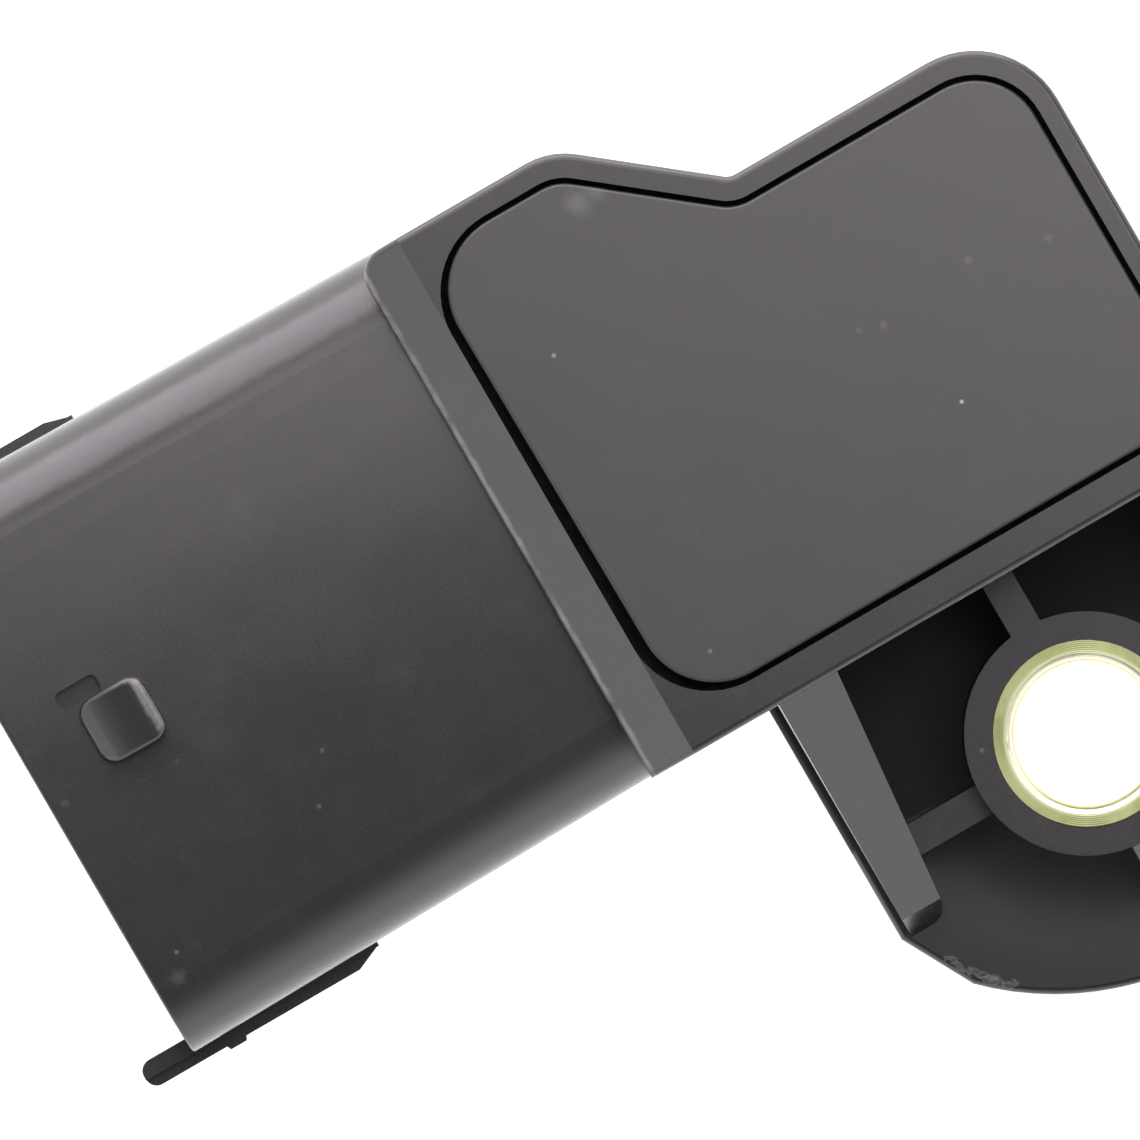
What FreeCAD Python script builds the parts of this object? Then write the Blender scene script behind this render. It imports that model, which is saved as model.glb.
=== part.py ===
import FreeCAD, Part

# Manifold absolute pressure sensor with a three-blade plug socket, in millimetres and degrees.
# The origin is the screw hole's axis on the seat plane. +Z leads up through the lid, +Y leads from
# the screw to the pressure port, and the plug socket opens towards -X.

import math
import operator
import os
from types import SimpleNamespace

import Sketcher

# Driving sizes: name, value, what it measures
SIZES = [
    ("port_to_screw", 20.0, "port axis to screw axis"),
    ("body_height", 16.0, "seat plane to the rim round the lid"),
    ("body_left", 17.9, "port axis to the foot of the sloped band"),
    ("body_right", 13.0, "port axis to the far end"),
    ("body_front", 11.9, "port axis to the side that faces the screw"),
    ("body_back", 14.7, "port axis to the opposite side, by the plug"),
    ("back_step", 5.1, "setback of that side at the far end"),
    ("slant_start", 7.8, "port axis to the start of the slant, towards the plug"),
    ("slant_angle", 38.7, "slant between the two levels of that side"),
    ("body_corner", 4.3, "radius of the far corners"),
    ("band_corner", 1.3, "radius of the upright edge at the back end of the sloped band"),
    ("rim_round", 0.3, "radius of the body's upper edges"),
    ("slant_outer_round", 3.5, "radius where the slant starts"),
    ("slant_inner_round", 0.8, "radius where the slant ends"),
    ("band_width", 2.2, "sloped band between lid recess and shroud"),
    ("band_drop", 1.4, "fall of the sloped band"),
    ("rim_right", 1.0, "rim beside the lid at the far end"),
    ("rim_back", 1.1, "rim beside the lid on the back side"),
    ("rim_front", 1.6, "rim beside the lid on the screw side"),
    ("recess_corner", 3.9, "radius of the recess by the plug"),
    ("lid_corner", 3.5, "radius of the lid by the plug"),
    ("ledge_width", 1.5, "ledge that carries the lid"),
    ("lid_thickness", 1.6, "lid plate"),
    ("lid_sink", 0.1, "lid below the rim"),
    ("lid_gap", 0.24, "groove round the lid"),
    ("lid_gap_left_front", 0.62, "groove beside the sloped band, towards the screw"),
    ("lid_gap_left_back", 0.36, "groove beside the sloped band, at its other end"),
    ("lid_edge_round", 0.15, "radius of the lid's upper edge"),
    ("bead_thickness", 0.2, "adhesive below the lid"),
    ("bead_rise", 0.7, "adhesive up the groove"),
    ("cavity_floor", 6.8, "seat plane to the floor of the cavity"),
    ("shroud_reach", 41.9, "port axis to the mouth of the socket"),
    ("shroud_offset", 1.49, "middle of the shroud from the port axis"),
    ("shroud_root_width", 26.6, "shroud width where it leaves the body"),
    ("shroud_mouth_width", 27.5, "shroud width at its mouth"),
    ("shroud_height", 12.5, "shroud height at its long edges"),
    ("crown_slope", 4.0, "slope of the shroud's crowned faces at the long edges"),
    ("crown_radius", 130.0, "radius of the crowned faces"),
    ("shroud_level", 7.2, "seat plane to the middle of the shroud"),
    ("shroud_corner", 3.4, "radius of the shroud's long edges"),
    ("shroud_wall", 1.5, "wall of the socket"),
    ("shroud_overlap", 1.0, "shroud carried on into the body"),
    ("socket_depth", 17.5, "mouth to the end of the socket"),
    ("mouth_round", 0.15, "radius of the mouth's outer edge"),
    ("tongue_reach", 2.5, "rail tongues past the mouth"),
    ("tongue_inset", 0.7, "rail tongues inside the shroud's side"),
    ("tongue_round", 0.55, "radius of the tongue tips"),
    ("rail_run", 9.6, "mouth to the end of the rails"),
    ("rail_height", 3.2, "rail, inner step"),
    ("rail_step", 0.05, "inner step of the rail past the shroud's side"),
    ("rail_lip_height", 1.8, "rail, outer step"),
    ("rail_lip_front", 0.56, "outer step past the shroud, screw side"),
    ("rail_lip_back", 0.36, "outer step past the shroud, back side"),
    ("rail_run_out", 1.3, "slanted end of the rails"),
    ("stop_start", 1.3, "mouth to the stop on the rail"),
    ("stop_length", 1.2, "stop on the rail"),
    ("stop_reach", 0.2, "stop past the rail"),
    ("nose_start", 3.2, "mouth to the latch nose"),
    ("nose_length", 3.3, "latch nose along the plug's way"),
    ("nose_ramp", 1.65, "sloped part of the latch nose"),
    ("nose_foot", 0.4, "height of the latch nose where its slope starts"),
    ("nose_width", 3.2, "latch nose across"),
    ("nose_height", 1.3, "latch nose above the shroud"),
    ("nose_offset", 0.75, "latch nose from the middle of the shroud"),
    ("nose_bend", 5.0, "radius between the slope and the top of the latch nose"),
    ("nose_round", 0.8, "radius of the latch nose's upright edges"),
    ("nose_edge_round", 0.3, "radius of the latch nose's upper edge"),
    ("dimple_start", 2.65, "mouth to the sunk mark beside the latch nose"),
    ("dimple_length", 2.1, "sunk mark"),
    ("dimple_width", 0.9, "sunk mark across"),
    ("dimple_depth", 0.5, "depth of the sunk mark"),
    ("dimple_offset", 2.05, "sunk mark from the middle of the latch nose"),
    ("flange_half_width", 11.8, "screw axis to the flange's side"),
    ("flange_thickness", 3.0, "flange plate"),
    ("flange_end_radius", 14.1, "round end of the flange"),
    ("flange_end_centre", 2.6, "middle of the round end from the screw axis"),
    ("flange_side_end", 4.0, "screw axis to the end of the flange's straight side"),
    ("flange_cut_width", 1.8, "slanted corner between side and round end, across"),
    ("flange_edge_round", 0.3, "radius of the plate's upper edge"),
    ("wall_inset", 0.45, "flange wall from the plate's side"),
    ("wall_root_width", 3.0, "flange wall at the body"),
    ("wall_tip_width", 1.9, "flange wall at its tip"),
    ("wall_root_drop", 0.2, "rim to the top of the flange wall at the body"),
    ("wall_tip_height", 5.2, "flange wall at its tip"),
    ("wall_tip", 3.2, "screw axis to the flange wall's tip"),
    ("wall_run_out", 0.9, "steep end of the flange wall"),
    ("boss_radius", 5.5, "screw boss"),
    ("boss_height", 9.0, "screw boss"),
    ("rib_width", 1.5, "ribs of the boss"),
    ("side_rib_height", 6.6, "ribs from the boss to the flange walls"),
    ("side_rib_shift", 0.3, "side ribs from the screw axis"),
    ("end_rib_run", 9.8, "screw axis to the foot of the rib at the round end"),
    ("end_rib_height", 8.0, "rib at the round end, by the boss"),
    ("bushing_radius", 4.2, "brass bushing, outside"),
    ("bushing_bore", 3.25, "brass bushing, bore radius"),
    ("bushing_flare", 0.4, "radius of the bore's upper edge"),
    ("bushing_waist", 0.3, "depth of the bushing's holding groove"),
    ("waist_start", 3.2, "seat plane to the holding groove"),
    ("waist_length", 2.4, "holding groove"),
    ("bushing_proud", 0.1, "bushing above the boss"),
    ("moulded_gap", 0.01, "room round what is moulded in"),
    ("port_radius", 5.9, "collars of the pressure port"),
    ("port_length", 15.0, "pressure port below the seat plane"),
    ("port_bore", 1.6, "radius of the pressure passage"),
    ("seal_groove_start", 5.0, "seat plane to the ring groove"),
    ("seal_groove_width", 3.4, "ring groove"),
    ("seal_groove_radius", 3.95, "bottom of the ring groove"),
    ("seal_section", 1.31, "radius of the ring's section"),
    ("seal_clearance", 0.03, "ring from the bottom of its groove"),
    ("collar_length", 2.2, "collar below the ring"),
    ("collar_lead", 0.6, "chamfer of that collar"),
    ("nozzle_root_radius", 4.4, "nozzle below the collar"),
    ("nozzle_tip_radius", 3.7, "nozzle at its tip"),
    ("terminal_pitch", 5.0, "blade to blade"),
    ("terminal_width", 1.5, "blade across"),
    ("terminal_thickness", 0.8, "blade thickness"),
    ("blade_setback", 4.5, "mouth to the blade tips"),
    ("blade_taper", 0.5, "tapered tip of the blades"),
    ("pad_length", 3.4, "end of the blades inside the cavity"),
    ("substrate_left", 8.4, "port axis to the circuit plate's plug side"),
    ("substrate_right", 9.2, "port axis to its far side"),
    ("substrate_half_width", 6.6, "half of the circuit plate across"),
    ("substrate_thickness", 0.8, "circuit plate"),
    ("substrate_bond", 0.15, "adhesive below the circuit plate"),
    ("substrate_room", 0.3, "circuit plate to the edge of its seat"),
    ("pressure_hole", 0.6, "radius of the pressure hole in the plate"),
    ("pedestal_side", 3.2, "glass pedestal and pressure chip"),
    ("pedestal_height", 1.2, "glass pedestal"),
    ("chip_height", 0.5, "pressure chip"),
    ("diaphragm_side", 1.5, "hollow below the diaphragm"),
    ("diaphragm_thickness", 0.1, "diaphragm"),
    ("cap_side", 2.2, "reference cap"),
    ("cap_height", 0.5, "reference cap"),
    ("cap_wall", 0.35, "wall of the reference cap"),
    ("cap_hollow", 0.25, "vacuum space below the reference cap"),
    ("signal_chip_length", 3.6, "signal chip"),
    ("signal_chip_width", 2.8, "signal chip across"),
    ("signal_chip_height", 0.5, "signal chip"),
    ("signal_chip_place", 5.4, "port axis to the signal chip"),
    ("capacitor_length", 2.0, "chip capacitors"),
    ("capacitor_width", 1.25, "chip capacitors across"),
    ("capacitor_height", 0.85, "chip capacitors"),
    ("capacitor_place", 4.7, "port axis to the capacitors, across"),
    ("capacitor_spacing", 3.4, "capacitor to capacitor"),
    ("resistor_length", 1.6, "load resistor"),
    ("resistor_width", 0.8, "load resistor across"),
    ("resistor_height", 0.45, "load resistor"),
    ("loop_radius", 2.1, "bond wire loops of the terminals"),
    ("loop_section", 0.15, "radius of those wires"),
    ("chip_loop_radius", 0.7, "bond wire loops of the pressure chip"),
    ("chip_loop_section", 0.04, "radius of those wires"),
    ("chip_loop_pitch", 0.6, "chip wire to chip wire"),
    ("gel_level", 11.4, "seat plane to the top of the gel"),
    ("cut_margin", 1.0, "cuts carried on past what they cut"),
]

document = FreeCAD.newDocument("pressure_sensor")
sheet = document.addObject("Spreadsheet::Sheet", "Sizes")
for row, (alias, value, meaning) in enumerate(SIZES, start=1):
    sheet.set("A%d" % row, meaning)
    sheet.set("B%d" % row, str(value))
    sheet.setAlias("B%d" % row, alias)
document.recompute()


class Size:
    """A length, angle or ratio: its number, and the sheet expression that it follows."""

    def __init__(self, number, text):
        self.number = number
        self.text = text

    def joined(self, sign, other, work):
        other = as_size(other)
        return Size(work(self.number, other.number), "(%s %s %s)" % (self.text, sign, other.text))

    def __add__(self, other):
        return self.joined("+", other, operator.add)

    def __sub__(self, other):
        return self.joined("-", other, operator.sub)

    def __rsub__(self, other):
        return as_size(other) - self

    def __mul__(self, other):
        return self.joined("*", other, operator.mul)

    def __truediv__(self, other):
        return self.joined("/", other, operator.truediv)

    def __neg__(self):
        return Size(-self.number, "(0 - %s)" % self.text)


def as_size(value):
    """A bare number taken as a size."""
    if isinstance(value, Size):
        return value
    return Size(float(value), str(float(value)))


def tangent(angle):
    return Size(math.tan(math.radians(angle.number)), "tan(%s)" % angle.text)


# Two places closer than this are the same place
NEAR = 1e-4

size = SimpleNamespace(**{alias: Size(value, "Sizes." + alias) for alias, value, _ in SIZES})
ZERO = as_size(0)


def pin(sketch, element, end, place):
    """Fix a point of a sketch element at a place measured from the sketch's origin."""
    axes = (("DistanceX", -2), ("DistanceY", -1))
    for (kind, axis), distance in zip(axes, place):
        if distance is ZERO:
            sketch.addConstraint(Sketcher.Constraint("PointOnObject", element, end, axis))
            continue
        rule = Sketcher.Constraint(kind, -1, 1, element, end, distance.number)
        number = sketch.addConstraint(rule)
        sketch.setExpression("Constraints[%d]" % number, distance.text)


def set_radius(sketch, element, radius):
    number = sketch.addConstraint(Sketcher.Constraint("Radius", element, radius.number))
    sketch.setExpression("Constraints[%d]" % number, radius.text)


def add_sketch(body, name, role, level=ZERO):
    """Sketch on one of the body's own origin planes, moved along its normal to a level."""
    sketch = body.newObject("Sketcher::SketchObject", name)
    plane = next(item for item in body.Origin.OriginFeatures if item.Role == role)
    sketch.AttachmentSupport = [(plane, "")]
    sketch.MapMode = "FlatFace"
    if level is not ZERO:
        sketch.AttachmentOffset.Base.z = level.number
        sketch.setExpression("AttachmentOffset.Base.z", level.text)
    return sketch


def rounding(before, corner, after, radius):
    """Ends and arc of a corner of an outline: the corner itself where it has no radius."""
    if radius is None:
        return corner, corner, None
    back = (before - corner).normalize()
    ahead = (after - corner).normalize()
    half = back.getAngle(ahead) / 2
    first = corner + back * (radius.number / math.tan(half))
    last = corner + ahead * (radius.number / math.tan(half))
    inward = (back + ahead).normalize()
    middle = corner + inward * (radius.number / math.sin(half))
    return first, last, Part.Arc(first, middle - inward * radius.number, last)


def outline(sketch, corners, radii=None):
    """Closed outline through corners, rounded where a radius is given for a corner."""
    radii = radii or [None] * len(corners)
    points = [FreeCAD.Vector(x.number, y.number, 0) for x, y in corners]
    count = len(points)
    rounds = [rounding(points[i - 1], points[i], points[(i + 1) % count], radii[i]) for i in range(count)]
    lines = []
    for index in range(count):
        start = rounds[index][1]
        stop = rounds[(index + 1) % count][0]
        lines.append(sketch.addGeometry(Part.LineSegment(start, stop)))
    for index in range(count):
        incoming = lines[index - 1]
        outgoing = lines[index]
        first, last, arc = rounds[index]
        if arc is None:
            sketch.addConstraint(Sketcher.Constraint("Coincident", incoming, 2, outgoing, 1))
            pin(sketch, outgoing, 1, corners[index])
            continue
        bend = sketch.addGeometry(arc)
        near = 1 if sketch.getPoint(bend, 1).distanceToPoint(first) < NEAR else 2
        sketch.addConstraint(Sketcher.Constraint("Tangent", incoming, 2, bend, near))
        sketch.addConstraint(Sketcher.Constraint("Tangent", bend, 3 - near, outgoing, 1))
        set_radius(sketch, bend, radii[index])
        corner = sketch.addGeometry(Part.Point(points[index]), True)
        pin(sketch, corner, 1, corners[index])
        sketch.addConstraint(Sketcher.Constraint("PointOnObject", corner, 1, incoming))
        sketch.addConstraint(Sketcher.Constraint("PointOnObject", corner, 1, outgoing))


def box_corners(low_x, high_x, low_y, high_y):
    return [(low_x, low_y), (high_x, low_y), (high_x, high_y), (low_x, high_y)]


def circle(sketch, place, radius):
    middle = FreeCAD.Vector(place[0].number, place[1].number, 0)
    element = sketch.addGeometry(Part.Circle(middle, FreeCAD.Vector(0, 0, 1), radius.number))
    pin(sketch, element, 3, place)
    set_radius(sketch, element, radius)


def volume_of(body):
    return body.Tip.Shape.Volume if body.Tip else 0.0


def settle(body, before, grows):
    """Recompute, and stop if a feature left the body's volume as it was."""
    document.recompute()
    change = volume_of(body) - before
    if (change > 0) != grows or abs(change) < NEAR:
        raise RuntimeError("%s changed %s by %g" % (body.Tip.Label, body.Label, change))


def extrude(body, kind, sketch, length, against=False):
    """Pad or Pocket of a sketch. Against turns it round from the side it goes to by itself."""
    before = volume_of(body)
    feature = body.newObject("PartDesign::" + kind, sketch.Name + "_" + kind.lower())
    feature.Profile = sketch
    feature.Length = length.number
    feature.setExpression("Length", length.text)
    feature.Reversed = against
    settle(body, before, kind == "Pad")


def turn(body, kind, sketch):
    """Revolution or Groove of a sketch about its own upright axis."""
    before = volume_of(body)
    feature = body.newObject("PartDesign::" + kind, sketch.Name + "_" + kind.lower())
    feature.Profile = sketch
    feature.ReferenceAxis = (sketch, ["V_Axis"])
    feature.Angle = 360
    settle(body, before, kind == "Revolution")


def round_edges(body, name, radius, wanted):
    """Fillet of every edge of the body for which wanted says yes."""
    base = body.Tip
    edges = base.Shape.Edges
    names = ["Edge%d" % (index + 1) for index, edge in enumerate(edges) if wanted(edge)]
    if not names:
        raise RuntimeError("no edge found for " + name)
    feature = body.newObject("PartDesign::Fillet", name)
    feature.Base = (base, names)
    feature.Radius = radius.number
    feature.setExpression("Radius", radius.text)
    document.recompute()


def is_upright_at(edge, places):
    """Whether an edge runs along Z through one of some places."""
    box = edge.BoundBox
    if max(box.XLength, box.YLength) > NEAR:
        return False
    return any(math.hypot(box.Center.x - x, box.Center.y - y) < NEAR for x, y in places)


def is_level_at(edge, height):
    """Whether an edge lies flat at a height."""
    return abs(edge.BoundBox.ZMin - height.number) < NEAR and abs(edge.BoundBox.ZMax - height.number) < NEAR


def new_body(label):
    body = document.addObject("PartDesign::Body", label)
    body.Label = label
    return body


# Places that several pieces share
port_y = size.port_to_screw
recess_left = size.body_left - size.band_width
lid_level = size.body_height - size.lid_sink - size.lid_thickness
ledge_level = lid_level - size.bead_thickness
cavity_left = recess_left - size.ledge_width
shroud_y = port_y + size.shroud_offset
crown_half_width = size.shroud_mouth_width / 2 - size.crown_radius * tangent(size.crown_slope / 2)
crown_rise = crown_half_width * tangent(size.crown_slope)
shroud_top = size.shroud_level + size.shroud_height / 2 + crown_rise
blade_bottom = size.cavity_floor
circuit_bottom = size.cavity_floor
circuit_top = circuit_bottom + size.substrate_thickness


def platform_outline(left_front, left_back, right, front, back):
    """Outline of the lid platform, with its side walls moved in by a margin each."""
    lean = back * tangent(size.slant_angle / 2)
    slant_left = -size.slant_start - lean
    slant_right = slant_left + size.back_step / tangent(size.slant_angle)
    low = port_y - size.body_front + front
    high = port_y + size.body_back - back
    shoulder = high - size.back_step
    right = size.body_right - right
    return [
        (-left_front, low),
        (right, low),
        (right, shoulder),
        (slant_right, shoulder),
        (slant_left, high),
        (-left_back, high),
    ]


def platform_radii(left_front, left_back, right, back):
    """Radii of that outline, which follow the margins at the far corners and at the slant."""
    far = size.body_corner - right
    return [left_front, far, far, size.slant_inner_round + back, size.slant_outer_round - back, left_back]


def recess_outline(inset, left_front, left_back, corner):
    """Outline of the lid recess, moved in by an inset and, on the plug side, by one at each end."""
    corners = platform_outline(
        recess_left - left_front,
        recess_left - left_back,
        size.rim_right + inset,
        size.rim_front + inset,
        size.rim_back + inset,
    )
    return corners, platform_radii(corner, corner, size.rim_right + inset, size.rim_back + inset)


def opening_outline():
    """Outline of the recess that the lid lies in."""
    return recess_outline(ZERO, ZERO, ZERO, size.recess_corner)


def lid_outline():
    """Outline of the lid, with the groove all round it."""
    return recess_outline(size.lid_gap, size.lid_gap_left_front, size.lid_gap_left_back, size.lid_corner)


def cavity_outline():
    """Outline of the cavity inside the ledge that carries the lid."""
    ledge = size.ledge_width
    return recess_outline(ledge, ledge, ledge, size.recess_corner - ledge)


def shroud_section(body, name, reach, width):
    """Outer section of the shroud across the plug's way, with crowned top and bottom."""
    sketch = add_sketch(body, name, "YZ_Plane", -reach)
    near, far, low, high = section_sides(width / 2, size.shroud_height / 2)
    peak = width / 2 * tangent(size.crown_slope)
    corners = [
        (near, low),
        (shroud_y, low - peak),
        (far, low),
        (far, high),
        (shroud_y, high + peak),
        (near, high),
    ]
    corner = size.shroud_corner
    outline(sketch, corners, [corner, size.crown_radius, corner, corner, size.crown_radius, corner])
    return sketch


def section_sides(half_width, half_height):
    """Sides of a section about the middle of the shroud."""
    level = size.shroud_level
    return shroud_y - half_width, shroud_y + half_width, level - half_height, level + half_height


def add_platform(body):
    """Block below the lid, with the sloped band on its plug side."""
    sketch = add_sketch(body, "platform_plan", "XY_Plane")
    corners = platform_outline(size.body_left, size.body_left, ZERO, ZERO, ZERO)
    outline(sketch, corners, platform_radii(None, size.band_corner, ZERO, ZERO))
    extrude(body, "Pad", sketch, size.body_height)

    steepness = size.band_drop / size.band_width
    start_y = port_y - size.body_front - size.cut_margin
    sketch = add_sketch(body, "band_profile", "XZ_Plane", -start_y)
    outer = -size.body_left - size.cut_margin
    inner = -recess_left + size.cut_margin
    top = size.body_height + steepness * size.cut_margin
    foot = size.body_height - size.band_drop - steepness * size.cut_margin
    outline(sketch, [(outer, foot), (inner, top), (outer, top)])
    extrude(body, "Pocket", sketch, size.body_front + size.body_back + size.cut_margin * 2)

    band_foot = (size.body_height - size.band_drop).number - NEAR
    band_top = -recess_left.number

    def is_upper_edge(edge):
        box = edge.BoundBox
        return box.ZMin > band_foot and (box.XLength > NEAR or abs(box.XMin - band_top) > NEAR)

    round_edges(body, "rim_edges", size.rim_round, is_upper_edge)


def add_shroud(body):
    """Plug shroud, a little wider at its mouth, with its socket."""
    before = volume_of(body)
    root_reach = size.body_left - size.shroud_overlap
    root = shroud_section(body, "shroud_root", root_reach, size.shroud_root_width)
    mouth = shroud_section(body, "shroud_mouth", size.shroud_reach, size.shroud_mouth_width)
    loft = body.newObject("PartDesign::AdditiveLoft", "shroud")
    loft.Profile = root
    loft.Sections = [mouth]
    loft.Ruled = True
    settle(body, before, True)

    mouth_x = -size.shroud_reach.number
    round_edges(body, "mouth_edge", size.mouth_round, lambda edge: abs(edge.BoundBox.XMax - mouth_x) < NEAR)
    socket = add_sketch(body, "socket", "YZ_Plane", -size.shroud_reach)
    half_width = size.shroud_root_width / 2 - size.shroud_wall
    half_height = size.shroud_height / 2 - size.shroud_wall
    corners = box_corners(*section_sides(half_width, half_height))
    outline(socket, corners, [size.shroud_corner - size.shroud_wall] * 4)
    extrude(body, "Pocket", socket, size.socket_depth, against=True)


def add_rail(body, name, side, lip):
    """Guide rail with its tongue: a thick inner step and a thin outer lip."""
    surface = shroud_y + size.shroud_mouth_width / 2 * side
    tip = -size.shroud_reach - size.tongue_reach
    end = -size.shroud_reach + size.rail_run
    inside = surface - size.tongue_inset * side

    sketch = add_sketch(body, name + "_core", "XY_Plane", size.shroud_level - size.rail_height / 2)
    outside = surface + size.rail_step * side
    corners = [(tip, inside), (end, inside), (end, outside), (tip, outside)]
    outline(sketch, corners, [size.tongue_round, None, None, None])
    extrude(body, "Pad", sketch, size.rail_height)

    sketch = add_sketch(body, name + "_lip", "XY_Plane", size.shroud_level - size.rail_lip_height / 2)
    outside = surface + lip * side
    slanted = end - size.rail_run_out
    corners = [(tip, inside), (end, inside), (end, surface), (slanted, outside), (tip, outside)]
    outline(sketch, corners, [size.tongue_round, None, None, None, size.tongue_round])
    extrude(body, "Pad", sketch, size.rail_lip_height)


def add_rail_stop(body):
    """Low stop on the rail of the screw side."""
    outside = shroud_y - size.shroud_mouth_width / 2 - size.rail_lip_front
    start = -size.shroud_reach + size.stop_start
    end = start + size.stop_length
    sketch = add_sketch(body, "rail_stop", "XY_Plane", size.shroud_level - size.rail_lip_height / 2)
    corners = [
        (start, outside + size.stop_reach),
        (start + size.stop_reach, outside - size.stop_reach),
        (end - size.stop_reach, outside - size.stop_reach),
        (end, outside + size.stop_reach),
    ]
    outline(sketch, corners)
    extrude(body, "Pad", sketch, size.rail_lip_height)


def is_nose_top(edge, start, end):
    """Whether an edge runs round the top of the latch nose, above the face of the shroud."""
    box = edge.BoundBox
    along = start.number - NEAR < box.XMin and box.XMax < end.number + NEAR
    return along and box.ZMin > shroud_top.number + NEAR and max(box.XLength, box.YLength) > NEAR


def add_latch_nose(body):
    """Latch nose on the shroud, sloped towards the mouth, and the sunk mark beside it."""
    middle = shroud_y + size.nose_offset
    start = -size.shroud_reach + size.nose_start
    end = start + size.nose_length
    foot = shroud_top - size.shroud_wall / 2
    top = shroud_top + size.nose_height
    high_side = middle + size.nose_width / 2
    sketch = add_sketch(body, "latch_nose", "XZ_Plane", -high_side)
    corners = [
        (start, foot),
        (end, foot),
        (end, top),
        (start + size.nose_ramp, top),
        (start, shroud_top + size.nose_foot),
    ]
    outline(sketch, corners, [None, None, None, size.nose_bend, None])
    extrude(body, "Pad", sketch, size.nose_width)
    low_side = high_side - size.nose_width
    places = [(x.number, y.number) for x in (start, end) for y in (low_side, high_side)]
    round_edges(body, "latch_nose_edges", size.nose_round, lambda edge: is_upright_at(edge, places))
    round_edges(body, "latch_nose_top", size.nose_edge_round, lambda edge: is_nose_top(edge, start, end))

    mark = middle + size.dimple_offset
    mark_start = -size.shroud_reach + size.dimple_start
    sketch = add_sketch(body, "dimple", "XY_Plane", shroud_top)
    corners = box_corners(
        mark_start,
        mark_start + size.dimple_length,
        mark - size.dimple_width / 2,
        mark + size.dimple_width / 2,
    )
    outline(sketch, corners, [size.dimple_width / 3] * 4)
    extrude(body, "Pocket", sketch, size.dimple_depth)


def add_flange_plate(body):
    """Flange plate: straight sides, slanted corners and a round end."""
    half = size.flange_half_width
    cut = half - size.flange_cut_width
    body_side = port_y - size.body_front
    root = body_side + size.cut_margin
    centre = FreeCAD.Vector(0, size.flange_end_centre.number, 0)
    radius = size.flange_end_radius.number
    lean = math.acos(cut.number / radius)
    cut_y = centre.y - radius * math.sin(lean)
    points = [
        FreeCAD.Vector(half.number, root.number, 0),
        FreeCAD.Vector(-half.number, root.number, 0),
        FreeCAD.Vector(-half.number, -size.flange_side_end.number, 0),
        FreeCAD.Vector(-cut.number, cut_y, 0),
        FreeCAD.Vector(cut.number, cut_y, 0),
        FreeCAD.Vector(half.number, -size.flange_side_end.number, 0),
    ]

    sketch = add_sketch(body, "flange_plan", "XY_Plane")
    top = sketch.addGeometry(Part.LineSegment(points[0], points[1]))
    left = sketch.addGeometry(Part.LineSegment(points[1], points[2]))
    left_cut = sketch.addGeometry(Part.LineSegment(points[2], points[3]))
    round_end = Part.Circle(centre, FreeCAD.Vector(0, 0, 1), radius)
    end = sketch.addGeometry(Part.ArcOfCircle(round_end, math.pi + lean, 2 * math.pi - lean))
    right_cut = sketch.addGeometry(Part.LineSegment(points[4], points[5]))
    right = sketch.addGeometry(Part.LineSegment(points[5], points[0]))
    pieces = [top, left, left_cut, end, right_cut, right]
    for index, piece in enumerate(pieces):
        sketch.addConstraint(Sketcher.Constraint("Coincident", pieces[index - 1], 2, piece, 1))
    pin(sketch, top, 1, (half, root))
    pin(sketch, left, 1, (-half, root))
    pin(sketch, left_cut, 1, (-half, -size.flange_side_end))
    pin(sketch, right, 1, (half, -size.flange_side_end))
    pin(sketch, end, 3, (ZERO, size.flange_end_centre))
    set_radius(sketch, end, size.flange_end_radius)
    for element, corner, place in ((left_cut, 2, -cut), (right_cut, 1, cut)):
        rule = Sketcher.Constraint("DistanceX", -1, 1, element, corner, place.number)
        number = sketch.addConstraint(rule)
        sketch.setExpression("Constraints[%d]" % number, place.text)
    extrude(body, "Pad", sketch, size.flange_thickness)

    def is_upper_edge(edge):
        return is_level_at(edge, size.flange_thickness) and edge.BoundBox.YMin < body_side.number - NEAR

    round_edges(body, "flange_upper_edge", size.flange_edge_round, is_upper_edge)


def add_flange_walls(body):
    """Walls along the flange's sides, sloping from the body down to the plate."""
    root = port_y - size.body_front
    end = -size.wall_tip - size.wall_run_out
    wall_top = size.body_height - size.wall_root_drop
    for name, side in (("left_wall", -1), ("right_wall", 1)):
        outer = (size.flange_half_width - size.wall_inset) * side
        corners = [
            (outer, root + size.cut_margin),
            (outer, end),
            (outer - size.wall_tip_width * side, end),
            (outer - size.wall_root_width * side, root),
            (outer - size.wall_root_width * side, root + size.cut_margin),
        ]
        sketch = add_sketch(body, name, "XY_Plane")
        outline(sketch, corners, [None, None, size.wall_tip_width / 2, None, None])
        extrude(body, "Pad", sketch, wall_top)

    beyond = size.flange_end_centre - size.flange_end_radius - size.cut_margin
    above = size.body_height + size.cut_margin
    sketch = add_sketch(body, "wall_slope", "YZ_Plane", -size.flange_half_width - size.cut_margin)
    corners = [
        (root, wall_top),
        (root, above),
        (beyond, above),
        (beyond, size.flange_thickness),
        (end, size.flange_thickness),
        (-size.wall_tip, size.wall_tip_height),
    ]
    outline(sketch, corners)
    extrude(body, "Pocket", sketch, (size.flange_half_width + size.cut_margin) * 2, against=True)


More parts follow.
